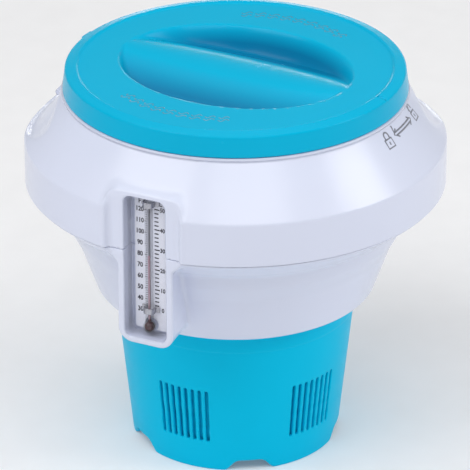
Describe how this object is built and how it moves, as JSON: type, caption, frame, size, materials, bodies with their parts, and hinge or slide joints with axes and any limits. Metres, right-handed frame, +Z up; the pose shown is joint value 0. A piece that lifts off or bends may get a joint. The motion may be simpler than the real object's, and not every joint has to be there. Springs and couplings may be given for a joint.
{
  "type": "floating chlorine dispenser",
  "caption": "Round pool float with a collar, twist-lock lid, slotted tablet basket with a flow dial, and a thermometer in a housing on its side.",
  "frame": {"origin": "on the vertical axis, in the plane of the feet", "axes": "+Z up along the axis; the thermometer faces -Y"},
  "size_m": [0.185, 0.1831, 0.1765],
  "materials": {
    "white_shell": "glossy moulded",
    "liner_plastic": "satin moulded",
    "teal_plastic": "satin moulded",
    "lid_plastic": "satin moulded",
    "clear_plastic": "clear moulded",
    "printed_card": "printed",
    "tube_glass": "clear",
    "red_spirit": "dyed liquid",
    "clip_metal": "thin sheet",
    "screw_steel": "stainless"
  },
  "bodies": {
    "float": {"upper_shell": "white_shell", "lower_shell": "white_shell", "chamber_liner": "liner_plastic", "basket": "teal_plastic", "thermometer_cover": "clear_plastic", "thermometer_card": "printed_card", "thermometer_tube": "tube_glass", "thermometer_spirit": "red_spirit", "tube_clip_upper": "clip_metal", "tube_clip_lower": "clip_metal"},
    "lid": {"lid": "lid_plastic"},
    "flow_control": {"flow_sleeve": "teal_plastic", "flow_dial": "teal_plastic", "dial_screw": "screw_steel"}
  },
  "joints": [
    {"name": "lid_turn", "type": "hinge", "parent": "float", "child": "lid", "pos_m": [0, 0, 0.17], "axis": [0, 0, 1], "range_deg": [0, 18]},
    {"name": "flow_turn", "type": "hinge", "parent": "float", "child": "flow_control", "pos_m": [0, 0, 0.009], "axis": [0, 0, 1], "range_deg": [0, 36]}
  ]
}
